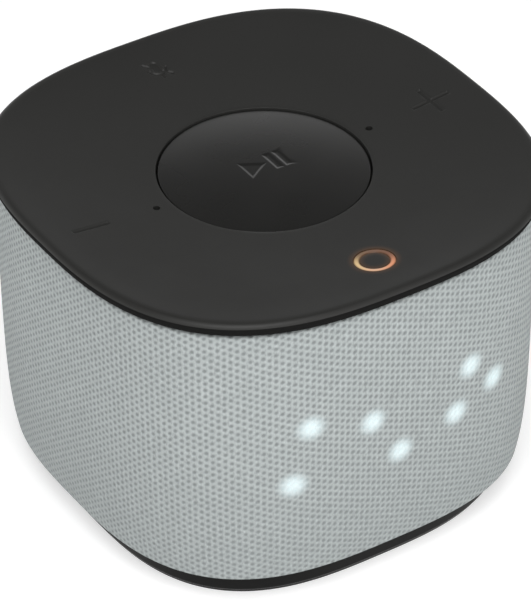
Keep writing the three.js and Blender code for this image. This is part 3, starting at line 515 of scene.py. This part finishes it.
def stitch_pattern(finish):
    """Three waves over the stitch grid: 3 in the middle of a hole, down to -1.5 on the yarns."""
    split = finish.node("SeparateXYZ", finish.node("UVMap", uv_map="stitches").outputs[0])
    wander = finish.maths("MULTIPLY_ADD", finish.noise(420, 2), 0.24, -0.12)
    column = finish.maths("ADD", split.outputs["X"], wander)
    row = finish.maths("MULTIPLY_ADD", column, 1 / rows_per_repeat, split.outputs["Y"])
    total = None
    for phase in (column, row, finish.maths("SUBTRACT", column, row)):
        wave = finish.maths("COSINE", finish.maths("MULTIPLY", phase, 2 * math.pi))
        total = wave if total is None else finish.maths("ADD", total, wave)
    return total


def lamp_glow(finish):
    """Painted glow: light from each lamp behind the knit, painted as spots on the fabric's front only."""
    place = finish.places((1, 0, 1))
    total = None
    for name in sorted(n for n in nodes if n.startswith("led_lamp_")):
        low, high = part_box(name)
        centre = (low + high) / 2
        away = finish.vector("DISTANCE", place, (centre.x, 0, centre.z))
        spot = finish.between(away, 1.0, 0.0, glow_core, glow_reach)
        total = spot if total is None else finish.maths("MAXIMUM", total, spot)
    depth = finish.node("SeparateXYZ", finish.places()).outputs["Y"]
    front = finish.maths("LESS_THAN", depth, 0)
    return finish.maths("MULTIPLY", total, front)


def knit_fabric():
    """A light grey mesh knit: round holes in staggered columns between plump yarns."""
    finish = Finish("knit_fabric", 0.92, Sheen_Weight=0.05, Sheen_Roughness=0.5, Specular_IOR_Level=0.1)
    waves = stitch_pattern(finish)
    fibre = finish.noise(2600, 5, (1, 1, 0.45))
    patch = finish.noise(130, 3)
    uneven = finish.maths("MULTIPLY_ADD", finish.noise(560, 2), 2.0, -1.0)
    hole = finish.between(finish.maths("ADD", waves, uneven), 0.0, 1.0, -1.4, 3.2)
    yarn = finish.colours(patch, (0.375, 0.405, 0.404), (0.43, 0.463, 0.461))
    # Painted shade: the yarn is mixed towards a darker grey lower down the sleeve.
    up = finish.node("SeparateXYZ", finish.places()).outputs["Z"]
    painted_low_shade = finish.between(up, 0.45, 0.0, sleeve_low.z, height * 0.7)
    yarn = finish.colours(painted_low_shade, yarn, (0.30, 0.323, 0.322))
    yarn = finish.colours(finish.between(fibre, 0.0, 0.6, 0.5, 0.72), yarn, (0.27, 0.291, 0.290))
    yarn = finish.colours(finish.between(fibre, 0.35, 0.0, 0.28, 0.45), yarn, (0.56, 0.60, 0.60))
    finish.set("Base Color", finish.colours(hole, yarn, (0.232, 0.251, 0.250)))
    # Painted glow: the knit itself gives off the lamps' light, a little more in the holes.
    glow = lamp_glow(finish)
    through = finish.maths("MULTIPLY", glow, finish.between(waves, 0.85, 1.25, -1.0, 2.0))
    finish.set("Emission Color", (0.78, 0.96, 1.0))
    finish.set("Emission Strength", finish.maths("MULTIPLY", through, 0.56))
    relief = finish.maths("MULTIPLY_ADD", fibre, 0.8, finish.maths("MULTIPLY", waves, -1.0))
    finish.bump(relief, 0.06 * mm)
    return finish.material


def action_glow():
    """The ring's lit line: gold towards the near left, orange at the right, dim at the far side."""
    finish = Finish("amber_light", 0.35)
    place, away = ring_place(finish)
    near = finish.vector("DOT_PRODUCT", place, (-0.54 / ring_radius, -0.84 / ring_radius, 0))
    right = finish.vector("DOT_PRODUCT", place, (0.84 / ring_radius, -0.54 / ring_radius, 0))
    tone = finish.colours(finish.between(right, 0.0, 1.0, -1.0, -0.1), (1.0, 0.74, 0.36), (1.0, 0.62, 0.4))
    tone = finish.colours(finish.between(right, 0.0, 1.0, 0.0, 1.0), tone, (1.0, 0.40, 0.20))
    across = finish.maths("ABSOLUTE", finish.maths("SUBTRACT", away, ring_radius))
    line = finish.between(across, 1.0, 0.25, 0.15 * mm, 0.62 * mm)
    finish.set("Base Color", (0.1, 0.045, 0.025))
    finish.set("Emission Color", tone)
    bright = finish.between(near, 0.09, 0.6, -0.75, 0.45)
    finish.set("Emission Strength", finish.maths("MULTIPLY", bright, line))
    finish.bump(finish.noise(1800, 3), 0.01 * mm)
    return finish.material


def metal(name, colour, roughness, brushed=(1, 1, 12)):
    finish = Finish(name, roughness, Metallic=1.0)
    streaks = finish.noise(900, 4, brushed)
    darker = tuple(channel * 0.82 for channel in colour)
    finish.set("Base Color", finish.colours(streaks, darker, colour))
    finish.set("Roughness", finish.between(streaks, roughness - 0.07, roughness + 0.09, 0.3, 0.7))
    finish.bump(streaks, 0.006 * mm)
    return finish.material


def woven(name, colour, dark, pitch, roughness):
    """A cloth or paper surface: crossing threads with fibre noise."""
    finish = Finish(name, roughness)
    split = finish.node("SeparateXYZ", finish.places())
    threads = None
    for axis in ("X", "Y"):
        wave = finish.maths("SINE", finish.maths("MULTIPLY", split.outputs[axis], 2 * math.pi / pitch))
        threads = wave if threads is None else finish.maths("MULTIPLY", threads, wave)
    mixed = finish.maths("MULTIPLY_ADD", finish.noise(1500, 5), 0.8, threads)
    finish.set("Base Color", finish.colours(finish.between(mixed, 0.0, 1.0, -0.8, 1.4), dark, colour))
    finish.bump(mixed, 0.04 * mm)
    return finish.material


def printed_board(name, colour):
    """Solder mask with faint tracks under it."""
    finish = Finish(name, 0.35, Coat_Weight=0.3)
    cells = finish.node("TexVoronoi", feature="DISTANCE_TO_EDGE", distance="MANHATTAN")
    finish.put(cells.inputs["Vector"], finish.places())
    finish.put(cells.inputs["Scale"], 420)
    tracks = finish.between(cells.outputs["Distance"], 1.0, 0.0, 0.02, 0.1)
    lighter = tuple(channel * 1.9 + 0.01 for channel in colour)
    finish.set("Base Color", finish.colours(tracks, colour, lighter))
    finish.bump(tracks, 0.02 * mm)
    return finish.material


def lamp_light(name, colour, strength):
    finish = Finish(name, 0.3, Emission_Strength=strength)
    finish.set("Base Color", finish.colours(finish.noise(2000, 2), colour, (0.9, 0.9, 0.9)))
    finish.set("Emission Color", colour)
    return finish.material


looks = {
    "soft_touch": soft_touch(),
    "satin_button": satin_button(),
    "matt_lip_painted_shade": matt_lip_painted_shade(),
    "knit_fabric": knit_fabric(),
    "gloss_base": gloss_base(),
    "amber_light": action_glow(),
    "foot_rubber": moulded("foot_rubber", (0.014, 0.014, 0.014), 0.82, 1500, 0.03 * mm),
    "black_plastic": moulded("black_plastic", (0.018, 0.018, 0.018), 0.5),
    "grey_plastic": moulded("grey_plastic", (0.50, 0.52, 0.52), 0.55),
    "suspension_rubber": moulded("suspension_rubber", (0.016, 0.016, 0.016), 0.7, 1800),
    "silicone": moulded("silicone", (0.42, 0.44, 0.44), 0.6, Subsurface_Weight=0.1),
    "ribbon_film": moulded("ribbon_film", (0.42, 0.20, 0.06), 0.3, 900, Coat_Weight=0.3),
    "ferrite": moulded("ferrite", (0.028, 0.028, 0.031), 0.62, 1300, 0.04 * mm),
    "plated_steel": metal("plated_steel", (0.62, 0.63, 0.64), 0.3),
    "copper_wire": metal("copper_wire", (0.72, 0.34, 0.17), 0.32, (1, 1, 30)),
    "paper_cone": woven("paper_cone", (0.035, 0.034, 0.032), (0.014, 0.014, 0.013), 0.9 * mm, 0.85),
    "spider_cloth": woven("spider_cloth", (0.55, 0.38, 0.16), (0.26, 0.16, 0.06), 0.7 * mm, 0.8),
    "circuit_board": printed_board("circuit_board", (0.012, 0.075, 0.035)),
    "black_board": printed_board("black_board", (0.011, 0.012, 0.013)),
    "cool_lamp": lamp_light("cool_lamp", (0.8, 0.96, 1.0), 2.0),
}

# ---------------------------------------------------------------- cover


def cover_angles():
    """Close together where an icon is, coarser between."""
    icon_half = 7.0
    lines = []
    for quarter in range(4):
        start = quarter * 90
        lines += list(np.arange(start - icon_half, start + icon_half, 0.21))
        lines += list(np.arange(start + icon_half, start + 90 - icon_half, 1.1))
    return np.radians(np.array(sorted(lines)))


def dish_radii():
    """From the rim in to the hole, close together across the icons."""
    icon_half = 5.3 * mm
    outer = np.linspace(rim_start, icon_offset + icon_half, 9)
    icons = np.linspace(icon_offset + icon_half, icon_offset - icon_half, 67)
    inner = np.linspace(icon_offset - icon_half, hole_radius + hole_chamfer, 17)
    return np.concatenate([outer[1:], icons[1:], inner[1:]])


def press_icons(places):
    x, y, z = places[..., 0], places[..., 1], places[..., 2]
    top = z > z_cover_edge
    distance = np.minimum.reduce([
        plus_distance(x - icon_offset, y),
        minus_distance(x + icon_offset, y),
        mute_distance(x, y - icon_offset),
    ])
    places[..., 2] = np.where(top, z - pressed(distance, icon_depth), z)


def cover():
    skirt_out = fabric_half_width(z_cover_edge) - fabric_wall - grille_wall - 3 * sliding_gap
    skirt_in = skirt_out - skirt_wall
    rim_centre = (rim_start, height - rim_radius)
    under = [
        (hole_radius, z_cover_under),
        (skirt_in, z_cover_under),
        (skirt_in, z_cover_under - skirt_depth),
        (skirt_out, z_cover_under - skirt_depth),
        (skirt_out, z_cover_edge),
        (half_width - rim_undercut - skirt_lip, z_cover_edge),
        (half_width - rim_undercut, z_cover_edge + skirt_lip),
    ]
    rim = arc(rim_centre, rim_radius, 0, rim_end, 10)
    dish = [(radius, dish_height(radius)) for radius in dish_radii()]
    chamfer = arc((hole_radius + hole_chamfer, z_hole_edge - hole_chamfer), hole_chamfer, 105, 180, 4)
    places = turned([*under, *rim, *dish, *chamfer], cover_angles(), dish_plan)
    press_icons(places)
    made = loft("cover", places)
    mics = [rod(f"mic_{side}", mic_radius, z_cover_under - 1 * mm, height, x=side * mic_offset)
            for side in (-1, 1)]
    well = rod("well", ring_radius + ring_line / 2 + ring_gap, -8 * mm, 4 * mm, 128)
    on_dish(well)
    cut(made, *mics, well)
    finished(made, looks["soft_touch"], "chassis", "soft_touch", "top_cover")
    # The lip's faces under the rim get the matt finish with painted shade.
    made.data.materials.append(looks["matt_lip_painted_shade"])
    for face in made.data.polygons:
        outside = squircle_radius(face.center.x, face.center.y) > rim_start
        if outside and face.center.z < z_cover_edge + lip_height:
            face.material_index = 1
    return made


def cover_stakes():
    """The bosses and pins under the cover that hold the touch board."""
    core = 0.2 * mm
    z_touch_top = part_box("touch_board")[1].z
    z_pin_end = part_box("touch_board")[0].z - stake_reach
    for number in range(4):
        x = stake_offset * (1 if number % 2 else -1)
        y = stake_offset * (1 if number > 1 else -1)
        section = rounded([
            (core, z_pin_end),
            (stake_radius, z_pin_end),
            (stake_radius, z_touch_top),
            (stake_boss_radius, z_touch_top),
            (stake_boss_radius, z_cover_under),
            (core, z_cover_under),
        ], 0.15 * mm)
        places = turned(section, even_angles(32), round_plan)
        places[..., 0] += x
        places[..., 1] += y
        made = loft(f"cover_stake_{number + 1}", places)
        finished(made, looks["soft_touch"], "chassis", "soft_touch")


# ---------------------------------------------------------------- press button


def button():
    z_ceiling = z_button_edge - button_wall
    flange_top = z_cover_under - sliding_gap
    dome_start = button_radius - button_edge_radius
    figure = 5.9 * mm
    shares = [*np.linspace(dome_start, figure, 22)[1:], *np.linspace(figure, 0.05 * mm, 46)[1:]]
    section = [
        (0.05 * mm, button_low.z),
        (1.8 * mm, button_low.z),
        (2 * mm, button_low.z + 0.2 * mm),
        (2 * mm, z_ceiling),
        (button_radius - button_wall, z_ceiling),
        (button_radius - button_wall, flange_top - button_flange_wall),
        (button_flange, flange_top - button_flange_wall),
        (button_flange, flange_top),
        (button_radius, flange_top),
        *arc((dome_start, z_button_edge - button_edge_radius), button_edge_radius, 0, 84, 9),
        *[(r, z_button_edge + dome_rise * (1 - (r / dome_start) ** 2)) for r in shares],
    ]
    places = turned(section, even_angles(288), round_plan)
    x, y, z = places[..., 0], places[..., 1], places[..., 2]
    mark = pressed(play_pause_distance(x, y), mark_depth, 0.42 * mm)
    places[..., 2] = np.where(z > z_button_edge, z - mark, z)
    made = loft("press_button", places, closed_section=False)
    return finished(made, looks["satin_button"], "button", "satin_button", "centre_button")


# ---------------------------------------------------------------- action ring


def action_ring():
    inner = ring_radius - ring_line / 2
    outer = ring_radius + ring_line / 2
    low = -6.6 * mm
    top = -0.1 * mm
    ring = rounded([(inner, -1.2 * mm), (0.4 * mm, -1.2 * mm), (0.4 * mm, low), (outer, low),
                    (outer, top), (inner, top)], 0.18 * mm)
    made = loft("action_ring", turned(ring, even_angles(128), round_plan))
    on_dish(made)
    finished(made, looks["amber_light"], "chassis", "amber_light", "action_light_guide")

    edge = inner - ring_gap
    rounding = 0.25 * mm
    pad = [
        (0.05 * mm, -1.1 * mm),
        (edge, -1.1 * mm),
        *arc((edge - rounding, top - rounding), rounding, 0, 90, 5),
        (edge * 0.6, top + 0.02 * mm),
        (0.05 * mm, top + 0.03 * mm),
    ]
    made = loft("action_key", turned(pad, even_angles(96), round_plan), closed_section=False)
    on_dish(made)
    return finished(made, looks["soft_touch"], "chassis", "soft_touch", "action_pad")


# ---------------------------------------------------------------- fabric


def along_outline(half, power, count):
    """Angles that are evenly spaced along a rounded square, from the back round."""
    fine = np.linspace(0, 2 * math.pi, 4001) + math.pi / 2
    reach = half * squircle_reach(fine, power)
    steps = np.hypot(np.diff(reach * np.cos(fine)), np.diff(reach * np.sin(fine)))
    length = np.concatenate([[0], np.cumsum(steps)])
    wanted = np.arange(count) * length[-1] / count
    return np.interp(wanted, length, fine), length[-1]


def fabric():
    low, high = sleeve_low.z, sleeve_high.z
    hem = fabric_half_width(low) - fabric_wall - sliding_gap
    top_hem = fabric_half_width(high) - fabric_wall - grille_wall - sliding_gap
    turn = fabric_wall * 0.9
    levels = np.linspace(low + turn, high - turn, 56)
    outer = [(fabric_half_width(z), z) for z in levels]
    inner_levels = np.linspace(high - fabric_wall, low + fabric_wall, 30)
    inner = [(fabric_half_width(z) - fabric_wall, z) for z in inner_levels]
    low_turn = arc((fabric_half_width(low + turn) - turn, low + turn), turn, -90, 0, 6)[:-1]
    high_turn = arc((fabric_half_width(high - turn) - turn, high - turn), turn, 0, 90, 6)[1:]
    section = [
        (hem, low + 0.02 * mm),
        *low_turn,
        *outer,
        *high_turn,
        (top_hem, high - 0.02 * mm),
        (top_hem, high - fabric_wall),
        *inner,
        (hem, low + fabric_wall),
    ]
    columns = stitch_columns * 2
    angles, girth = along_outline(fabric_half_width(height / 2), plan_power(height / 2), columns)
    places = turned(section, angles, body_plan)
    made = loft("fabric_cover", places, sharp=50)
    length = stitch_uv(made, np.array(section), columns)
    finished(made, looks["knit_fabric"], "chassis", "knit_fabric", "fabric_sleeve")
    return made


def stitch_uv(made, section, columns):
    """UVs counted in stitches: columns round the body, rows along the section. Gives the cloth's length."""
    steps = np.hypot(*np.diff(np.vstack([section, section[:1]]), axis=0).T)
    along = np.concatenate([[0], np.cumsum(steps)])
    rows = along / stitch_row
    mesh = made.data
    corner = np.zeros(len(mesh.loops), int)
    mesh.loops.foreach_get("vertex_index", corner)
    row, column = corner // columns, corner % columns
    row, column = row.reshape(-1, 4), column.reshape(-1, 4)
    last_row, last_column = row.max(1) - row.min(1) > 1, column.max(1) - column.min(1) > 1
    row = np.where(last_row[:, None] & (row == 0), len(section), row)
    column = np.where(last_column[:, None] & (column == 0), columns, column)
    layer = mesh.uv_layers.new(name="stitches")
    places = np.stack([column * stitch_columns / columns, rows[row]], axis=-1)
    layer.data.foreach_set("uv", places.reshape(-1).astype(np.float32))
    return along[-1] / 2


# ---------------------------------------------------------------- base


def base():
    core = 0.3 * mm
    groove_out = foot_high.x + foot_gap
    groove_in = groove_out - foot_width - 2 * foot_gap
    groove_top = foot_high.z + foot_gap
    z_floor = base_low.z + base_floor
    flange = fabric_half_width(sleeve_low.z) - fabric_wall - 2 * sliding_gap
    edge = arc((base_half_width - base_edge_radius, base_low.z + base_edge_radius),
               base_edge_radius, -90, 0, 7)
    section = [
        (core, base_low.z),
        (groove_in, base_low.z),
        (groove_in, groove_top),
        (groove_out, groove_top),
        (groove_out, base_low.z),
        *edge,
        (base_half_width, sleeve_low.z - base_flare),
        (base_half_width + base_flare, sleeve_low.z),
        (flange, sleeve_low.z),
        (flange, base_high.z),
        (base_half_width - base_wall, base_high.z),
        (base_half_width - base_wall, z_floor),
        (core, z_floor),
    ]
    made = loft("base", turned(section, even_angles(360), body_plan), closed_section=False, sharp=40)
    inlet_low, inlet_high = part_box("power_inlet")
    cut(made, socket_tool(inlet_low, inlet_high, base_wall), sharp=40)
    return finished(made, looks["gloss_base"], "chassis", "gloss_base", "base_plate")


def socket_tool(low, high, wall):
    """A flat tube with round sides through the base's back wall, a little larger than the inlet."""
    tall = high.z - low.z + 2 * sliding_gap
    wide = high.x - low.x + 2 * sliding_gap
    reach = (wide - tall) / 2
    ends = [(reach, -90), (-reach, 90)]
    outline = [(place + tall / 2 * math.cos(math.radians(start + step * 10)),
                tall / 2 * math.sin(math.radians(start + step * 10)))
               for place, start in ends for step in range(19)]
    depths = [high.y - 2 * wall - sliding_gap, high.y + 2 * wall]
    rows = [[(x, y, (low.z + high.z) / 2 + up) for x, up in outline] for y in depths]
    return loft("socket", np.array(rows)[:, ::-1], closed_section=False)


def foot():
    section = rounded([
        (foot_high.x - foot_width, 0),
        (foot_high.x, 0),
        (foot_high.x, foot_high.z),
        (foot_high.x - foot_width, foot_high.z),
    ], 0.3 * mm)
    made = loft("foot", turned(section, even_angles(360), body_plan))
    return finished(made, looks["foot_rubber"], "chassis", "foot_rubber", "foot_ring")


# ---------------------------------------------------------------- soft pieces that joints move


def return_pad():
    """The silicone ring that lifts the button again. It is drawn at rest, and nothing here flattens it."""
    low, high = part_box("button_return_pad")
    middle = (high.x + pad_inner) / 2
    half = high.x - middle
    section = rounded([
        (middle - half, low.z),
        (middle + half, low.z),
        (middle + half, low.z + 0.6 * mm),
        (middle + half * 0.5, high.z),
        (middle - half * 0.5, high.z),
        (middle - half, low.z + 0.6 * mm),
    ], 0.25 * mm)
    made = loft("return_pad", turned(section, even_angles(96), round_plan))
    finished(made, looks["silicone"], "chassis", "silicone", "button_return_pad")
    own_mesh(made)


def suspension(node, body, slot, start, roll, side, waves, rise, wall):
    """A wavy ring from a moving part out to a fixed one, in two halves that each ride their own part."""
    low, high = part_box(node)
    z_flat = low.z if side > 0 else high.z - wall
    roll_start, roll_end = roll
    middle = (roll_start + roll_end) / 2
    halves = [
        ("inner", body, np.linspace(start, middle - split_gap / 2, 49), []),
        ("outer", "chassis", np.linspace(middle + split_gap / 2, high.x, 49), [node]),
    ]
    for half, rider, radii, replaced in halves:
        along = np.clip((radii - roll_start) / (roll_end - roll_start), 0, 1)
        under = z_flat + side * rise * (1 - np.cos(2 * math.pi * waves * along)) / 2
        section = [*zip(radii, under), *zip(radii[::-1], under[::-1] + wall)]
        made = loft(f"{node}_{half}", turned(section, even_angles(128), round_plan), sharp=50)
        finished(made, looks[slot], rider, slot, *replaced)


def driver_suspension():
    """The rubber surround rolls up outside the cone, and the cloth spider centres the coil."""
    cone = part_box("driver_cone")[1].x
    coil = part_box("voice_coil")[1].x
    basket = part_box("driver_spider")[1].x
    roll_start = cone + surround_gap
    suspension("driver_surround", "diaphragm", "suspension_rubber", cone - surround_lap,
               (roll_start, roll_start + surround_roll), 1, 1, rubber_rise, rubber_wall)
    spider_start = coil + spider_gap
    suspension("driver_spider", "diaphragm", "spider_cloth", spider_start,
               (spider_start + spider_flat, basket - spider_rim), 1, spider_waves, spider_rise, spider_wall)


def radiator_suspension():
    """The passive radiator's surround rolls down, under the plate."""
    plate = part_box("radiator_plate")[1].x
    roll_start = plate + radiator_gap
    suspension("radiator_surround", "radiator", "suspension_rubber", plate - radiator_lap,
               (roll_start, roll_start + radiator_roll), -1, 1, rubber_rise, rubber_wall)


# ---------------------------------------------------------------- the CAD's own pieces


def dress_cad():
    """Each CAD node that still shows gets its slot's finish and softened edges."""
    slots = {part["node"]: part["material_slot"] for part in frame["record"]["subparts"]}
    for name, node in nodes.items():
        if node.hide_render:
            continue
        node.data.materials.clear()
        node.data.materials.append(looks[slots[name]])
        bevel = node.modifiers.new("edges", "BEVEL")
        bevel.width = 0.12 * mm
        bevel.segments = 2
        bevel.limit_method = "ANGLE"
        bevel.angle_limit = math.radians(50)


# ---------------------------------------------------------------- studio


def floor():
    material = moulded("pale_floor", (0.5, 0.5, 0.5), 0.8, 40, Emission_Strength=0.6)
    material.node_tree.nodes["Principled BSDF"].inputs["Emission Color"].default_value = (1, 1, 1, 1)
    size = 6.0
    corners = np.array([(-size, -size, 0), (size, -size, 0), (size, size, 0), (-size, size, 0)])
    made = new_object("floor", corners, [[0, 1, 2, 3]])
    made.data.materials.append(material)


def sky():
    """Bright round the horizon, like a white backdrop, and dim overhead."""
    world = bpy.data.worlds.new("studio")
    bpy.context.scene.world = world
    world.use_nodes = True
    tree = world.node_tree
    place = tree.nodes.new("ShaderNodeTexCoord")
    split = tree.nodes.new("ShaderNodeSeparateXYZ")
    ramp = tree.nodes.new("ShaderNodeValToRGB")
    background = tree.nodes["Background"]
    tree.links.new(place.outputs["Generated"], split.inputs[0])
    tree.links.new(split.outputs["Z"], ramp.inputs[0])
    tree.links.new(ramp.outputs[0], background.inputs["Color"])
    stops = [(0.0, 1.0), (0.28, 0.9), (0.5, 0.2), (1.0, 0.12)]
    ramp.color_ramp.elements[0].position = 0.0
    ramp.color_ramp.elements[-1].position = 1.0
    for position, _ in stops[1:-1]:
        ramp.color_ramp.elements.new(position)
    for element, (_, value) in zip(ramp.color_ramp.elements, stops):
        element.color = (value, value, value, 1)
    background.inputs["Strength"].default_value = 1.0


def softbox(name, place, target, size, power):
    lamp = bpy.data.lights.new(name, "AREA")
    lamp.shape = "DISK"
    lamp.size = size
    lamp.energy = power
    made = bpy.data.objects.new(name, lamp)
    bpy.context.scene.collection.objects.link(made)
    made.location = place
    made.rotation_euler = (Vector(target) - Vector(place)).to_track_quat("-Z", "Y").to_euler()
    return made


def camera():
    azimuth, elevation, roll = math.radians(-32.745), math.radians(36.595), math.radians(-0.377)
    distance = 0.941
    focal = 258.8
    lateral = 0.1 * mm
    target = Vector((lateral * math.cos(azimuth), lateral * math.sin(azimuth), 40.31 * mm))
    back = Vector((math.sin(azimuth) * math.cos(elevation),
                   -math.cos(azimuth) * math.cos(elevation), math.sin(elevation)))
    data = bpy.data.cameras.new("camera")
    data.lens = focal
    data.sensor_width = 36
    data.clip_start = 0.05
    made = bpy.data.objects.new("camera", data)
    bpy.context.scene.collection.objects.link(made)
    side = Vector((0, 0, 1)).cross(back).normalized()
    up = back.cross(side)
    right = math.cos(roll) * side + math.sin(roll) * up
    top = -math.sin(roll) * side + math.cos(roll) * up
    turn = Matrix((right, top, back)).transposed().to_4x4()
    made.matrix_world = Matrix.Translation(target + back * distance) @ turn
    bpy.context.scene.camera = made


cover()
cover_stakes()
button()
action_ring()
fabric()
base()
foot()
return_pad()
driver_suspension()
radiator_suspension()
dress_cad()
floor()
sky()
softbox("overhead", (-0.5, -0.75, 1.5), (0, 0, 0.05), 0.9, 22)
softbox("front_fill", (0.2, -1.6, 0.5), (0, 0, 0.04), 0.9, 3)
camera()
bpy.context.scene.view_settings.view_transform = "Standard"
